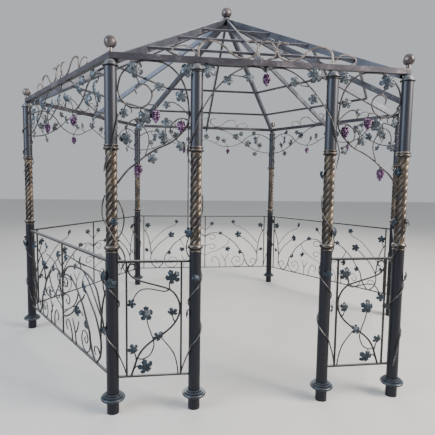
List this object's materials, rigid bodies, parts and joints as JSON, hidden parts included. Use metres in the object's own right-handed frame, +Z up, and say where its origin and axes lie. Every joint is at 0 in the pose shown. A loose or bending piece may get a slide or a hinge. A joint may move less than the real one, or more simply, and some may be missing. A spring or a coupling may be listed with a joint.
{
  "type": "garden gazebo",
  "caption": "Open hexagonal garden gazebo of steel pipe and forged iron, with rope-twisted posts, grapevine panels and an open rafter roof that rises to a ball.",
  "frame": {"origin": "on the floor under the roof's apex, at the height of the post pipes' lower ends", "axes": "+Z up, +X to the right as seen from the doorway side, the doorway faces -Y"},
  "size_m": [4.578, 3.988, 3.6848],
  "materials": {
    "post_pipe": "satin charcoal paint with a bluish sheen, rubbed with bronze on the side",
    "rope_bronze": "charcoal paint, ridges rubbed with bronze patina",
    "turned_bronze": "charcoal paint rubbed with bronze and copper patina",
    "ball_bronze": "grey-brown patina over charcoal paint",
    "flange_iron": "satin charcoal paint, dusty, bronze on the edges",
    "beam_tube": "satin dark grey-brown paint",
    "roof_tube": "satin dark grey paint",
    "forged_iron": "forged iron painted brown-black, light wear along the top",
    "leaf_patina": "leaves with blue-green patina over dark paint",
    "crest_iron": "forged bars with bronze patina on the knots",
    "grape_purple": "purple metallic paint over dark iron"
  },
  "bodies": {
    "root": {"corner_post_front_left": "post_pipe", "corner_post_front_right": "post_pipe", "corner_post_right": "post_pipe", "corner_post_back_right": "post_pipe", "corner_post_back_left": "post_pipe", "corner_post_left": "post_pipe", "door_post_left": "post_pipe", "door_post_right": "post_pipe", "twisted_shafts": "rope_bronze", "foot_flanges": "flange_iron", "lower_collars": "turned_bronze", "upper_collars": "turned_bronze", "head_caps": "turned_bronze", "corner_balls": "ball_bronze", "apex_ball": "ball_bronze", "eave_beam_front": "beam_tube", "eave_beam_front_right": "beam_tube", "eave_beam_back_right": "beam_tube", "eave_beam_back": "beam_tube", "eave_beam_back_left": "beam_tube", "eave_beam_front_left": "beam_tube", "hip_rafters": "roof_tube", "middle_rafters": "roof_tube", "lower_purlins": "roof_tube", "middle_purlins": "roof_tube", "upper_purlins": "roof_tube", "apex_dome": "roof_tube", "low_panel_door_left": "forged_iron", "low_panel_door_right": "forged_iron", "low_panel_front_right": "forged_iron", "low_panel_back_right": "forged_iron", "low_panel_back": "forged_iron", "low_panel_back_left": "forged_iron", "low_panel_front_left": "forged_iron", "spandrel_narrow_left": "forged_iron", "spandrel_door_left": "forged_iron", "spandrel_door_right": "forged_iron", "spandrel_narrow_right": "forged_iron", "spandrel_front_right": "forged_iron", "spandrel_back_right": "forged_iron", "spandrel_back": "forged_iron", "spandrel_back_left": "forged_iron", "spandrel_front_left": "forged_iron", "roof_crests": "crest_iron", "post_vines": "forged_iron", "grape_bunches": "grape_purple"}
  },
  "joints": []
}
